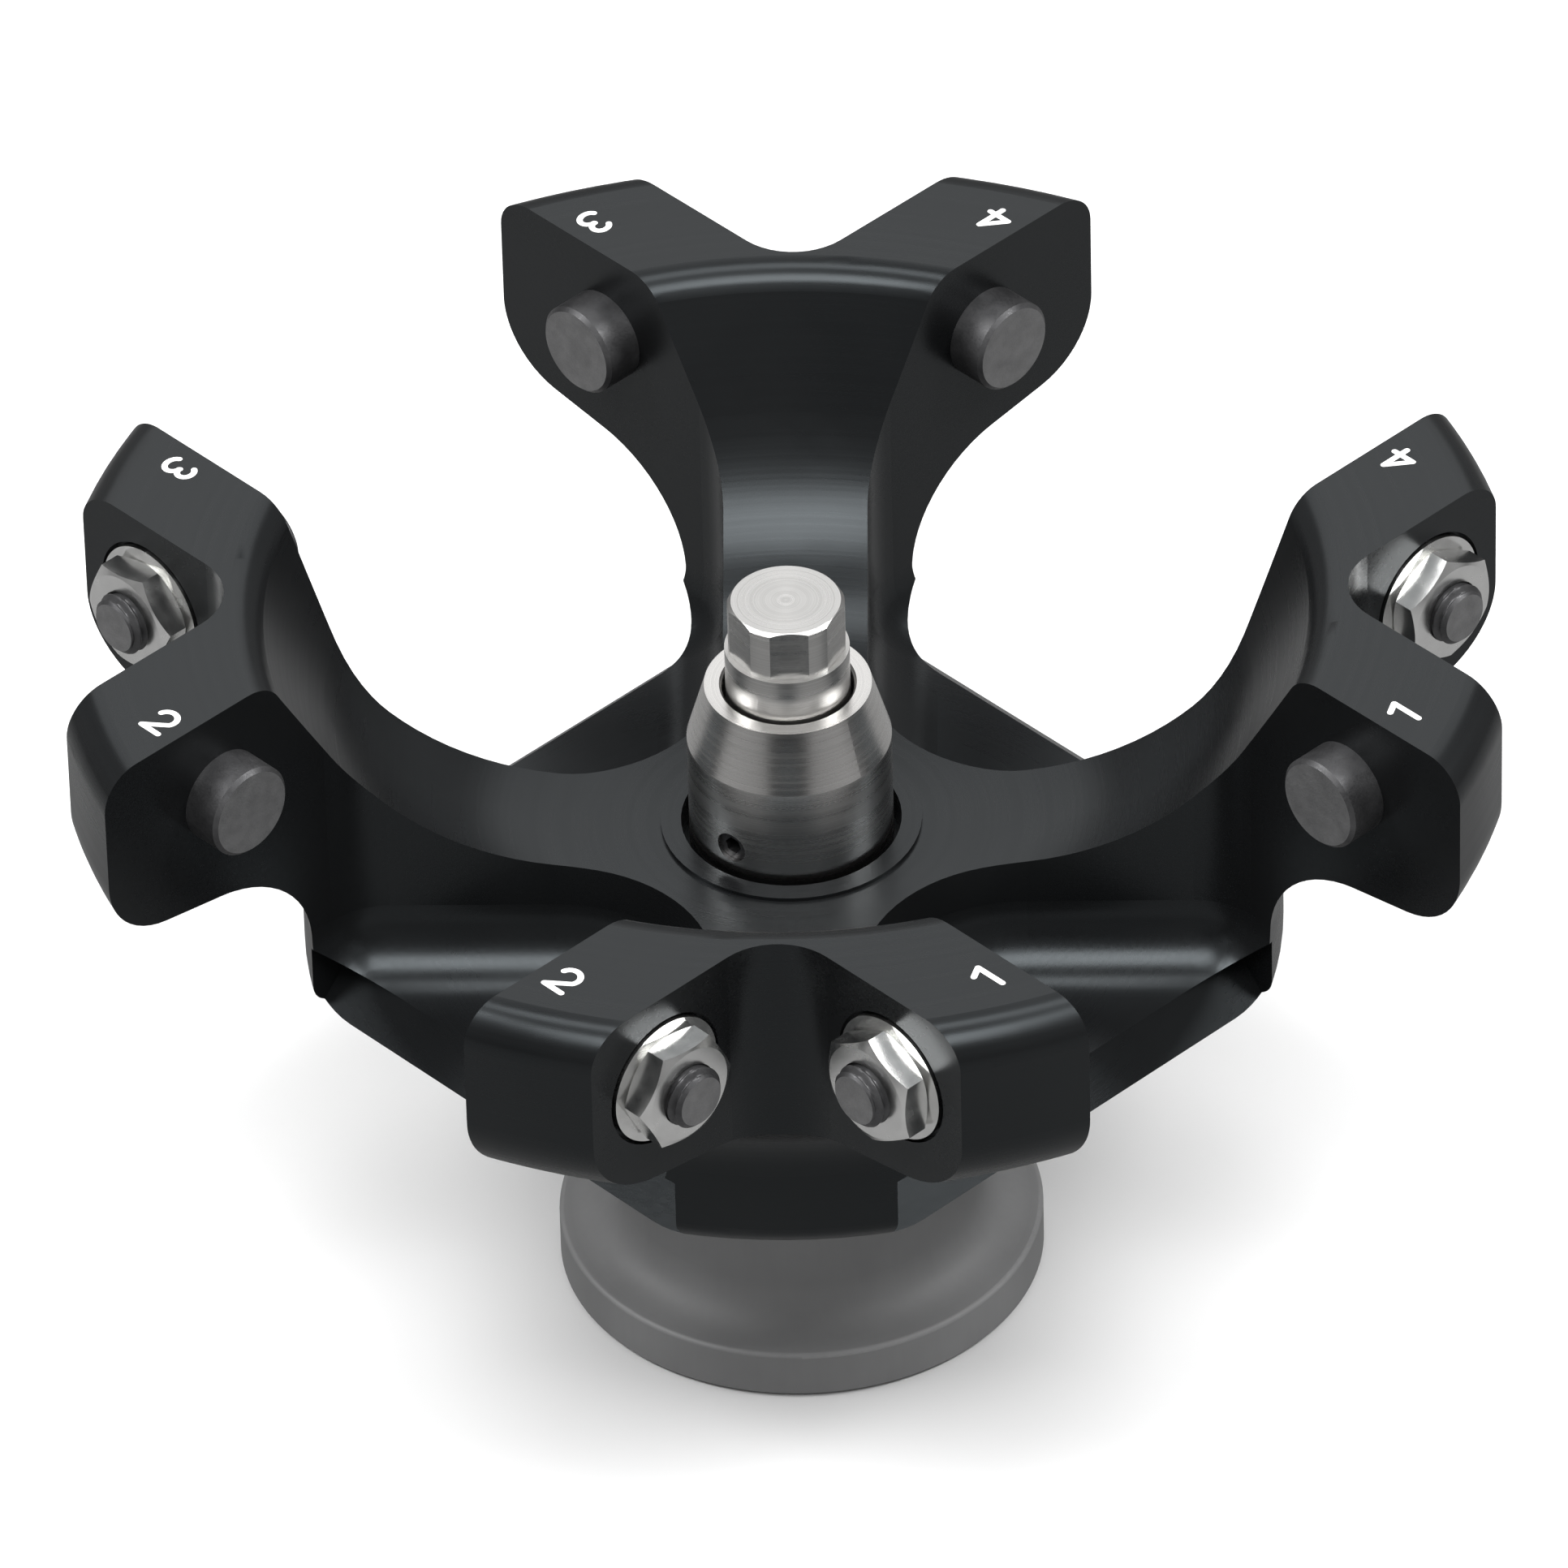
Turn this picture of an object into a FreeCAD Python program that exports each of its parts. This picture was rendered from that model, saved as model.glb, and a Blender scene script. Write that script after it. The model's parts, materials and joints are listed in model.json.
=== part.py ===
import FreeCAD, Part
import math
import os
import Sketcher

# Four-place swing-out centrifuge rotor, without its buckets.
#
# The frame: +Z is the rotor axis, the origin is the middle of the flange's lower face.
# The four bucket slots open along +X, -Y, -X and +Y (places 1 to 4), and the four arms
# stand on the diagonals between them.  A slot has two coordinates of its own: the distance
# out from the rotor axis, and the distance across from the slot's middle plane.

SIZES = (
    # places of the four slots and of the trunnion pins
    ("pivot_radius", 65.0, "rotor axis to trunnion axis"),
    ("pivot_rise", 42.3, "trunnion axis above the underside of the yoke"),
    ("slot_width", 63.0, "between the two wings of a bucket slot"),
    ("slot_floor", 4.3, "slot floor above the underside of the yoke"),
    ("slot_reach", 110.0, "length of the slot cutter from the rotor axis"),
    ("slot_corner_round", 10.0, "plan radius where wing and stem meet"),
    ("slot_root_round", 20.0, "plan radius between two stems"),
    ("slot_floor_round", 8.5, "radius between slot wall and floor"),
    ("stem_half_width", 9.0, "half the thickness of an arm's stem"),
    ("relief_start", 45.8, "rotor axis to the outer edge of the slot floor"),
    ("relief_step", 0.7, "sloping cut at the end of the floor, beyond each slot wall"),
    ("relief_slope", 45.0, "slope of that cut, in degrees"),
    ("relief_depth", 13.5, "depth of that cut, square to its face"),
    ("relief_run", 30.0, "length of that cut, down its face"),
    # the turned blank of the yoke
    ("rim_radius", 89.6, "outer turned radius of the wings"),
    ("wing_rise", 12.3, "wing tops above the trunnion axis"),
    ("wing_drop", 12.6, "outer lower corner below the trunnion axis"),
    ("wing_upper_round", 5.0, "outer upper corner"),
    ("wing_lower_round", 10.0, "outer lower corner"),
    ("undercut_drop", 17.6, "inner corner of the undercut below the trunnion axis"),
    ("undercut_round", 15.2, "radius of the undercut"),
    ("body_radius", 60.5, "turned radius of the lower body"),
    ("body_edge_round", 3.6, "lower edge of the body"),
    ("bowl_mouth_radius", 65.0, "radius of the bowl at the wing tops"),
    ("bowl_mouth_round", 4.6, "edge of the bowl"),
    ("bowl_foot_radius", 47.3, "radius of the bowl's cone at its floor"),
    ("bowl_round", 35.0, "radius between the bowl's floor and its cone"),
    ("bowl_floor_drop", 23.6, "bowl floor below the trunnion axis"),
    ("rim_ring_width", 2.5, "raised ring round the sleeve's recess"),
    ("rim_ring_height", 0.5, "its height above the bowl floor"),
    ("recess_gap", 1.0, "recess round the sleeve, beyond the sleeve's radius"),
    ("recess_depth", 4.0, "its depth"),
    # the notch between the two wings of an arm
    ("wing_thickness", 14.5, "slot wall to notch wall"),
    ("notch_root_round", 8.3, "plan radius at the foot of the notch"),
    ("seat_radius", 8.8, "spot-face for the washer"),
    ("seat_depth", 1.4, "its depth"),
    # trunnion pins, washers and nuts
    ("pin_radius", 6.0, "trunnion pin"),
    ("pin_reach", 5.25, "pin stands out of the slot wall"),
    ("pin_guide_radius", 5.0, "pin's guide in the wing"),
    ("pin_guide_length", 6.0, "its length"),
    ("pin_edge", 0.5, "chamfer of the pin's free end"),
    ("stud_radius", 4.0, "threaded end of the pin"),
    ("stud_stand_out", 2.0, "threaded end beyond the nut"),
    ("stud_edge", 0.8, "chamfer of the threaded end"),
    ("washer_radius", 8.25, "flat washer"),
    ("washer_thickness", 1.6, "flat washer"),
    ("nut_flats", 13.0, "nut, across the flats"),
    ("nut_height", 4.0, "nut"),
    ("nut_face_radius", 6.2, "nut's chamfer starts here"),
    ("nut_edge", 0.75, "height of the nut's chamfer"),
    ("fit_gap", 0.04, "radial gap of the close fits"),
    ("washer_gap", 0.25, "radial gap in the flat washer"),
    # the centre sleeve and its set screws
    ("sleeve_radius", 12.6, "outer radius of the sleeve"),
    ("sleeve_bore", 8.15, "bore for the clamp bolt"),
    ("sleeve_top_radius", 10.3, "radius of the sleeve's upper edge"),
    ("sleeve_top_rise", 40.2, "sleeve's upper edge above the underside of the yoke"),
    ("sleeve_cone_rise", 32.3, "foot of its cone"),
    ("sleeve_top_edge", 0.3, "chamfer of its bore"),
    ("collar_step", 2.0, "collar that holds the sleeve under the yoke, beyond the sleeve's radius"),
    ("collar_thickness", 3.5, "its thickness"),
    ("seat_ring_bore", 7.0, "bore below the thrust washer's seat"),
    ("thrust_seat_rise", 10.3, "thrust washer's seat above the underside of the yoke"),
    ("set_screw_rise", 22.6, "set screws above the underside of the yoke"),
    ("set_screw_radius", 2.0, "set screw"),
    ("set_screw_turn", -80.0, "set screws turned from the X axis, in degrees"),
    ("set_screw_sink", 0.6, "set screw below the sleeve's surface"),
    ("dog_radius", 1.4, "point of the set screw"),
    ("dog_length", 1.4, "its length"),
    ("socket_flats", 2.0, "hexagon socket of the set screw, across the flats"),
    ("socket_depth", 1.6, "its depth"),
    # the clamp bolt, which turns and lifts in the sleeve
    ("bolt_travel", 3.0, "lift of the clamp bolt"),
    ("bolt_top_rise", 53.0, "top of the bolt above the underside of the yoke"),
    ("bolt_head_radius", 7.2, "round of the bolt's head"),
    ("bolt_head_length", 7.0, "length of the six flats"),
    ("bolt_head_flats", 13.6, "across the flats"),
    ("bolt_head_turn", -11.0, "flats turned about the axis, in degrees"),
    ("bolt_head_edge", 0.45, "chamfer of the head"),
    ("bolt_shank_radius", 7.67, "shank in the sleeve"),
    ("bolt_land_radius", 8.1, "guiding lands"),
    ("bolt_land_length", 4.0, "upper land"),
    ("bolt_groove_radius", 6.4, "groove for the set screws' points"),
    ("bolt_thread_radius", 5.0, "thread for the motor spindle"),
    ("bolt_thread_length", 27.0, "thread below the lands"),
    ("bolt_thread_edge", 0.9, "chamfer of the thread's end"),
    ("end_play", 0.3, "groove beyond the set screws' points at either end"),
    ("face_gap", 0.05, "gap between faces that slide on each other"),
    ("thrust_washer_radius", 8.0, "thrust washer"),
    ("thrust_washer_thickness", 2.0, "thrust washer"),
    ("ring_radius", 6.6, "retaining ring under the thrust washer"),
    ("ring_thickness", 1.0, "its thickness"),
    ("ring_groove_depth", 0.4, "its groove in the bolt"),
    # the base flange and its screws
    ("flange_height", 48.9, "height of the flange"),
    ("flange_radius", 30.3, "rim of the flange"),
    ("flange_rim", 6.8, "thickness of the rim"),
    ("flange_edge", 0.6, "edges of the rim"),
    ("neck_radius", 23.2, "neck of the flange"),
    ("neck_round", 5.5, "foot of the neck"),
    ("spindle_bore", 11.0, "bore for the motor spindle"),
    ("spindle_bore_depth", 33.0, "its depth"),
    ("spindle_bore_edge", 0.8, "chamfer of its mouth"),
    ("screw_circle", 18.0, "pitch radius of the flange screws"),
    ("screw_radius", 2.0, "flange screw"),
    ("screw_head_radius", 3.5, "head of the flange screw"),
    ("screw_head_height", 4.0, "head of the flange screw"),
    ("screw_socket_flats", 3.0, "hexagon socket, across the flats"),
    ("screw_socket_depth", 2.2, "its depth"),
    ("screw_grip", 15.7, "flange under the screw's head"),
    ("screw_reach", 9.0, "thread in the yoke"),
    ("screw_gap", 0.2, "radial gap round the screw and its head"),
)

SIXTH_TURN_ROOT = 0.57735      # corner radius of a hexagon over its width across the flats
DIAGONAL = 1.41421             # diagonal of a unit square
QUARTER_TURNS = (0, 90, 180, 270)
NUT_TURNS = (31, 22, 33, 50, 38, 9, 55, 57)     # how each nut happened to stop, in degrees
PLACE_NUMBERS = {0: 1, 270: 2, 180: 3, 90: 4}  # bucket place by the turn of its slot
SLACK = 1.0                    # how far cutters run past the faces that they open

size = {name: value for name, value, _ in SIZES}
doc = FreeCAD.newDocument("swing_out_rotor")
sheet = doc.addObject("Spreadsheet::Sheet", "sizes")
nodes = []


def fill_sheet():
    for row, (name, value, meaning) in enumerate(SIZES, start=1):
        sheet.set("A%d" % row, meaning)
        sheet.set("B%d" % row, str(value))
        sheet.setAlias("B%d" % row, name)
    doc.recompute()


def amount(words):
    """The number that a sum such as 'pivot_rise + wing_rise' or '- 0.5*nut_flats' stands for."""
    total = 0.0
    sign = 1.0
    for word in words.split():
        if word in "+-":
            sign = -1.0 if word == "-" else 1.0
            continue
        product = sign
        for factor in word.split("*"):
            product *= size[factor] if factor in size else float(factor)
        total += product
        sign = 1.0
    return total


def formula(words):
    """The same sum as an expression on the sheet's cells."""
    spelled = []
    for word in words.split():
        factors = ["sizes." + part if part in size else part for part in word.split("*")]
        spelled.append(" * ".join(factors))
    return " ".join(spelled)


def bind(thing, **properties):
    for name, words in properties.items():
        thing.setExpression(name.replace("__", "."), formula(words))


def origin_plane(body, role):
    return next(item for item in body.Origin.OriginFeatures if item.Role == role)


def direction(start, end):
    run = (end[0] - start[0], end[1] - start[1])
    length = math.hypot(*run)
    return run[0] / length, run[1] / length


def rounded_corner(before, corner, after, radius):
    """Start, end, centre and sense of the arc that rounds a corner of an outline."""
    inward = direction(before, corner)
    outward = direction(corner, after)
    turn = math.atan2(inward[0] * outward[1] - inward[1] * outward[0],
                      inward[0] * outward[0] + inward[1] * outward[1])
    setback = radius * math.tan(abs(turn) / 2)
    start = (corner[0] - inward[0] * setback, corner[1] - inward[1] * setback)
    end = (corner[0] + outward[0] * setback, corner[1] + outward[1] * setback)
    side = math.copysign(radius, turn)
    centre = (start[0] - inward[1] * side, start[1] + inward[0] * side)
    return start, end, centre, turn > 0


def arc_between(centre, radius, start, end):
    circle = Part.Circle(FreeCAD.Vector(*centre, 0), FreeCAD.Vector(0, 0, 1), radius)
    first = math.atan2(start[1] - centre[1], start[0] - centre[0])
    last = math.atan2(end[1] - centre[1], end[0] - centre[0])
    return Part.ArcOfCircle(circle, first, last)


def pin_down(sketch, geometry, point, words):
    """Holds one point of a sketch at two named distances from the sketch's origin."""
    for kind, axis, text in (("DistanceX", -2, words[0]), ("DistanceY", -1, words[1])):
        if text == "0":
            sketch.addConstraint(Sketcher.Constraint("PointOnObject", geometry, point, axis))
            continue
        row = sketch.addConstraint(
            Sketcher.Constraint(kind, -1, 1, geometry, point, amount(text)))
        sketch.setExpression("Constraints[%d]" % row, formula(text))


def outline(body, name, role, corners, lift=None):
    """A closed, fully dimensioned outline of straight runs, its corners sharp or rounded."""
    sketch = body.newObject("Sketcher::SketchObject", name)
    sketch.AttachmentSupport = [(origin_plane(body, role), "")]
    sketch.MapMode = "FlatFace"
    if lift:
        bind(sketch, AttachmentOffset__Base__z=lift)
    points = [(amount(corner[0]), amount(corner[1])) for corner in corners]
    count = len(corners)
    rounds = []
    for index, corner in enumerate(corners):
        radius = amount(corner[2]) if len(corner) > 2 else 0.0
        neighbours = points[index - 1], points[index], points[(index + 1) % count]
        rounds.append(rounded_corner(*neighbours, radius) if radius else None)
    lines = []
    for index in range(count):
        following = (index + 1) % count
        start = rounds[index][1] if rounds[index] else points[index]
        end = rounds[following][0] if rounds[following] else points[following]
        segment = Part.LineSegment(FreeCAD.Vector(*start, 0), FreeCAD.Vector(*end, 0))
        lines.append(sketch.addGeometry(segment, False))
    for index, corner in enumerate(corners):
        arriving = lines[index - 1]
        leaving = lines[index]
        if not rounds[index]:
            sketch.addConstraint(Sketcher.Constraint("Coincident", arriving, 2, leaving, 1))
            pin_down(sketch, leaving, 1, corner[:2])
            continue
        start, end, centre, leftward = rounds[index]
        radius = amount(corner[2])
        ends = (start, end) if leftward else (end, start)
        arc = sketch.addGeometry(arc_between(centre, radius, *ends), False)
        first, last = (1, 2) if leftward else (2, 1)
        sketch.addConstraint(Sketcher.Constraint("Tangent", arriving, 2, arc, first))
        sketch.addConstraint(Sketcher.Constraint("Tangent", arc, last, leaving, 1))
        row = sketch.addConstraint(Sketcher.Constraint("Radius", arc, radius))
        sketch.setExpression("Constraints[%d]" % row, formula(corner[2]))
        sharp = sketch.addGeometry(Part.Point(FreeCAD.Vector(*points[index], 0)), True)
        sketch.addConstraint(Sketcher.Constraint("PointOnObject", sharp, 1, arriving))
        sketch.addConstraint(Sketcher.Constraint("PointOnObject", sharp, 1, leaving))
        pin_down(sketch, sharp, 1, corner[:2])
    return sketch


def turned(name, corners):
    """A body turned about its own Z axis from a half profile of (radius, height) corners."""
    body = doc.addObject("PartDesign::Body", name)
    sketch = outline(body, name + "_profile", "XZ_Plane", corners)
    revolution = body.newObject("PartDesign::Revolution", name + "_turning")
    revolution.Profile = sketch
    revolution.ReferenceAxis = (sketch, ["V_Axis"])
    revolution.Angle = 360
    return body


def milled(name, corners, foot, height):
    """A body raised from a plan outline, from one height above its origin."""
    body = doc.addObject("PartDesign::Body", name)
    sketch = outline(body, name + "_plan", "XY_Plane", corners, foot)
    pad = body.newObject("PartDesign::Pad", name + "_block")
    pad.Profile = sketch
    bind(pad, Length=height)
    return body, pad


def bar(name, radius, length, start=None):
    """A round bar along +Z."""
    cylinder = doc.addObject("Part::Cylinder", name)
    bind(cylinder, Radius=radius, Height=length)
    if start:
        bind(cylinder, Placement__Base__z=start)
    return cylinder


def six_sided(name, flats, height, foot=None):
    prism = doc.addObject("Part::Prism", name)
    prism.Polygon = 6
    bind(prism, Circumradius="%s*%s" % (SIXTH_TURN_ROOT, flats), Height=height)
    if foot:
        bind(prism, Placement__Base__z=foot)
    return prism


def boolean(kind, name, base, tool):
    result = doc.addObject("Part::" + kind, name)
    result.Base = base
    result.Tool = tool
    return result


def copies(name, tool, placements):
    """A set of placed copies of one cutter, held as one compound."""
    doc.recompute()
    shapes = []
    for placement in placements:
        shape = tool.Shape.copy()
        shape.Placement = placement.multiply(shape.Placement)
        shapes.append(shape)
    holder = doc.addObject("Part::Feature", name)
    holder.Shape = Part.makeCompound(shapes)
    return holder


def about_axis(angle):
    return FreeCAD.Placement(FreeCAD.Vector(), FreeCAD.Rotation(FreeCAD.Vector(0, 0, 1), angle))


def finish(label, thing):
    """Names a sub-part and adds it to the list of pieces that are written out."""
    thing.Label = label
    nodes.append(thing)


# ---- the yoke -------------------------------------------------------------------------


def yoke_blank():
    top = "pivot_rise + wing_rise"
    floor = "pivot_rise - bowl_floor_drop"
    return turned("yoke_blank", (
        ("sleeve_radius + fit_gap", "0"),
        ("body_radius", "0", "body_edge_round"),
        ("body_radius", "pivot_rise - undercut_drop", "undercut_round"),
        ("rim_radius", "pivot_rise - wing_drop", "wing_lower_round"),
        ("rim_radius", top, "wing_upper_round"),
        ("bowl_mouth_radius", top, "bowl_mouth_round"),
        ("bowl_foot_radius", floor, "bowl_round"),
        ("sleeve_radius + recess_gap + rim_ring_width", floor),
        ("sleeve_radius + recess_gap + rim_ring_width", floor + " + rim_ring_height"),
        ("sleeve_radius + recess_gap", floor + " + rim_ring_height"),
        ("sleeve_radius + recess_gap", floor + " - recess_depth"),
        ("sleeve_radius + fit_gap", floor + " - recess_depth"),
    ))


def slot_cutter():
    """The open pocket between two arms: its stem walls meet at a rounded root."""
    body, pad = milled("slot_cutter", (
        ("slot_reach", "- 0.5*slot_width"),
        ("slot_reach", "0.5*slot_width"),
        ("0.5*slot_width + %s*stem_half_width" % DIAGONAL, "0.5*slot_width", "slot_corner_round"),
        ("%s*stem_half_width" % DIAGONAL, "0", "slot_root_round"),
        ("0.5*slot_width + %s*stem_half_width" % DIAGONAL, "- 0.5*slot_width", "slot_corner_round"),
    ), "slot_floor", "pivot_rise + wing_rise - slot_floor + %s" % SLACK)
    doc.recompute()
    floor_edges = []
    for number, edge in enumerate(pad.Shape.Edges, start=1):
        box = edge.BoundBox
        on_floor = box.ZMax < size["slot_floor"] + 1e-6
        if on_floor and box.XMin < size["slot_reach"] - SLACK:
            floor_edges.append("Edge%d" % number)
    rounding = body.newObject("PartDesign::Fillet", "slot_floor_rounding")
    rounding.Base = (pad, floor_edges)
    bind(rounding, Radius="slot_floor_round")
    return body


def relief_cutter():
    """A sloping cut that takes the outer end off the slot floor, a little wider than the slot."""
    box = doc.addObject("Part::Box", "relief_cutter")
    bind(box, Length="relief_run", Width="slot_width + 2*relief_step", Height="relief_depth",
         Placement__Base__x="relief_start", Placement__Base__y="- 0.5*slot_width - relief_step",
         Placement__Base__z="slot_floor", Placement__Rotation__Angle="relief_slope")
    box.Placement.Rotation.Axis = FreeCAD.Vector(0, 1, 0)
    return box


def notch_cutter():
    """The quadrant between the two wings of the arm that stands at 45 degrees."""
    wall = "0.5*slot_width + wing_thickness"
    body, _ = milled("notch_cutter", (
        (wall, wall, "notch_root_round"),
        ("slot_reach", wall),
        ("slot_reach", "slot_reach"),
        (wall, "slot_reach"),
    ), "0.5*slot_floor", "pivot_rise + wing_rise + %s" % SLACK)
    return body


def wing_bore_cutter():
    """Guide hole, stud hole and spot-face of one wing, along +Z from the slot's middle plane."""
    wall = "0.5*slot_width"
    return turned("wing_bore_cutter", (
        ("0", wall + " - %s" % SLACK),
        ("pin_guide_radius + fit_gap", wall + " - %s" % SLACK),
        ("pin_guide_radius + fit_gap", wall + " + pin_guide_length"),
        ("stud_radius + fit_gap", wall + " + pin_guide_length"),
        ("stud_radius + fit_gap", wall + " + wing_thickness - seat_depth"),
        ("seat_radius", wall + " + wing_thickness - seat_depth"),
        ("seat_radius", wall + " + wing_thickness + %s" % SLACK),
        ("0", wall + " + wing_thickness + %s" % SLACK),
    ))


def trunnion_placements(height):
    """Where the eight trunnion axes start, in the slots' middle planes, and where they point."""
    places = []
    for turn in QUARTER_TURNS:
        outward = FreeCAD.Vector(math.cos(math.radians(turn)), math.sin(math.radians(turn)), 0)
        for side in (-1, 1):
            across = FreeCAD.Vector(-outward.y * side, outward.x * side, 0)
            base = outward * size["pivot_radius"] + FreeCAD.Vector(0, 0, height)
            rotation = FreeCAD.Rotation(FreeCAD.Vector(), FreeCAD.Vector(0, 0, 1), across, "ZYX")
            places.append((turn, side, FreeCAD.Placement(base, rotation)))
    return places


def make_yoke():
    blank = yoke_blank()
    quarters = [about_axis(turn) for turn in QUARTER_TURNS]
    wing_places = [place for _, _, place in trunnion_placements(size["pivot_rise"])]
    screw_places = []
    for turn in QUARTER_TURNS:
        place = about_axis(turn + 45)
        offset = FreeCAD.Placement(FreeCAD.Vector(size["screw_circle"], 0, 0), FreeCAD.Rotation())
        screw_places.append(place.multiply(offset))
    tapping = bar("tapping_cutter", "screw_radius + fit_gap", "screw_reach + 2*%s" % SLACK,
                  "- %s" % SLACK)
    shape = blank
    for name, tool, places in (
            ("slots", slot_cutter(), quarters),
            ("reliefs", relief_cutter(), quarters),
            ("notches", notch_cutter(), quarters),
            ("wing_bores", wing_bore_cutter(), wing_places),
            ("tapped_holes", tapping, screw_places)):
        shape = boolean("Cut", "yoke_with_" + name, shape, copies(name, tool, places))
    bind(shape, Placement__Base__z="flange_height")
    finish("rotor_yoke", shape)


# ---- trunnion pins with their washers and nuts ------------------------------------------


def make_trunnions():
    wall = "0.5*slot_width"
    seat = wall + " + wing_thickness - seat_depth"
    nut_face = seat + " + washer_thickness"
    pin_end = nut_face + " + nut_height + stud_stand_out"
    placements = trunnion_placements(size["flange_height"] + size["pivot_rise"])
    for turns_of_nut, (turn, side, place) in zip(NUT_TURNS, placements):
        name = "%d_%s" % (PLACE_NUMBERS[turn], "left" if side < 0 else "right")
        pin = turned("pin_" + name, (
            ("0", wall + " - pin_reach"),
            ("pin_radius - pin_edge", wall + " - pin_reach"),
            ("pin_radius", wall + " - pin_reach + pin_edge"),
            ("pin_radius", wall),
            ("pin_guide_radius", wall),
            ("pin_guide_radius", wall + " + pin_guide_length"),
            ("stud_radius", wall + " + pin_guide_length"),
            ("stud_radius", pin_end + " - stud_edge"),
            ("stud_radius - stud_edge", pin_end),
            ("0", pin_end),
        ))
        washer = turned("washer_" + name, (
            ("stud_radius + washer_gap", seat),
            ("washer_radius", seat),
            ("washer_radius", nut_face),
            ("stud_radius + washer_gap", nut_face),
        ))
        chamfer_foot = "%s*nut_flats + fit_gap" % SIXTH_TURN_ROOT
        nut_turning = turned("nut_turning_" + name, (
            ("stud_radius + fit_gap", nut_face),
            ("nut_face_radius", nut_face),
            (chamfer_foot, nut_face + " + nut_edge"),
            (chamfer_foot, nut_face + " + nut_height - nut_edge"),
            ("nut_face_radius", nut_face + " + nut_height"),
            ("stud_radius + fit_gap", nut_face + " + nut_height"),
        ))
        hexagon = six_sided("hexagon_" + name, "nut_flats", "nut_height", nut_face)
        hexagon.Placement.Rotation = FreeCAD.Rotation(FreeCAD.Vector(0, 0, 1), turns_of_nut)
        nut = boolean("Common", "nut_" + name, nut_turning, hexagon)
        for label, thing in (("trunnion_pin_", pin), ("trunnion_washer_", washer),
                             ("trunnion_nut_", nut)):
            thing.Placement = place
            finish(label + name, thing)


# ---- the centre: sleeve, set screws, clamp bolt and what runs on it ----------------------


def make_sleeve():
    sleeve = turned("sleeve_turning_body", (
        ("seat_ring_bore", "- collar_thickness"),
        ("sleeve_radius + collar_step", "- collar_thickness"),
        ("sleeve_radius + collar_step", "0"),
        ("sleeve_radius", "0"),
        ("sleeve_radius", "sleeve_cone_rise"),
        ("sleeve_top_radius", "sleeve_top_rise"),
        ("sleeve_bore + sleeve_top_edge", "sleeve_top_rise"),
        ("sleeve_bore", "sleeve_top_rise - sleeve_top_edge"),
        ("sleeve_bore", "thrust_seat_rise"),
        ("seat_ring_bore", "thrust_seat_rise"),
    ))
    drill = bar("set_screw_drill", "set_screw_radius + fit_gap", "2*sleeve_radius + 2*%s" % SLACK,
                "- sleeve_radius - %s" % SLACK)
    across = FreeCAD.Rotation(FreeCAD.Vector(0, 0, 1), set_screw_direction(0))
    level = FreeCAD.Placement(FreeCAD.Vector(0, 0, size["set_screw_rise"]), across)
    drilled = boolean("Cut", "sleeve", sleeve, copies("set_screw_holes", drill, [level]))
    bind(drilled, Placement__Base__z="flange_height")
    finish("centre_sleeve", drilled)


def set_screw_direction(half_turns):
    angle = math.radians(size["set_screw_turn"] + 180 * half_turns)
    return FreeCAD.Vector(math.cos(angle), math.sin(angle), 0)


def make_set_screws():
    """Two dogs of one height, whose points run in the clamp bolt's groove."""
    tip = "bolt_groove_radius + end_play"
    back = "sleeve_radius - set_screw_sink"
    for half_turns, name in enumerate(("set_screw_front", "set_screw_back")):
        screw = turned(name + "_turning", (
            ("0", tip),
            ("dog_radius", tip),
            ("dog_radius", tip + " + dog_length"),
            ("set_screw_radius", tip + " + dog_length"),
            ("set_screw_radius", back),
            ("0", back),
        ))
        socket = six_sided(name + "_hexagon", "socket_flats", "socket_depth + %s" % SLACK,
                           back + " - socket_depth")
        piece = boolean("Cut", name, screw, socket)
        rotation = FreeCAD.Rotation(FreeCAD.Vector(0, 0, 1), set_screw_direction(half_turns))
        height = size["flange_height"] + size["set_screw_rise"]
        piece.Placement = FreeCAD.Placement(FreeCAD.Vector(0, 0, height), rotation)
        finish(name, piece)


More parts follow.
